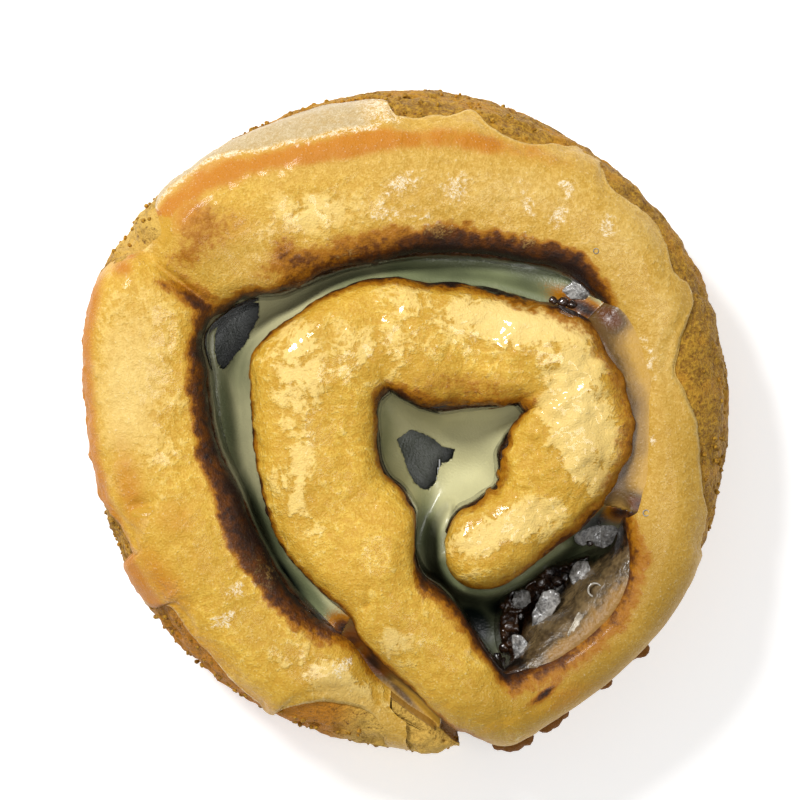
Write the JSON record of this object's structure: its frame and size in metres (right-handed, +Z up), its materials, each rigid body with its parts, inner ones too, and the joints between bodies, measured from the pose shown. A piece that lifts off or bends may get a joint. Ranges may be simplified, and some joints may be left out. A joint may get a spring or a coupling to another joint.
{
  "type": "cinnamon roll",
  "caption": "Round iced cinnamon roll: one strip of dough wound round a dark filling, glazed over its top and in its open gaps.",
  "frame": {"origin": "centre of the roll's plan box, on the level that it stands on", "axes": "+Z up out of the iced top, +X towards the right and +Y towards the top of the roll as seen from above"},
  "size_m": [0.0926, 0.0952, 0.0304],
  "materials": {
    "dough": "baked crust, satin",
    "filling": "sticky, glossy",
    "icing": "thin clear icing, glossy",
    "glaze": "thick grey glaze, glossy"
  },
  "bodies": {
    "root": {"dough": "dough", "cinnamon_filling": "filling", "icing": "icing", "middle_glaze": "glaze", "side_glaze": "glaze"}
  },
  "joints": []
}
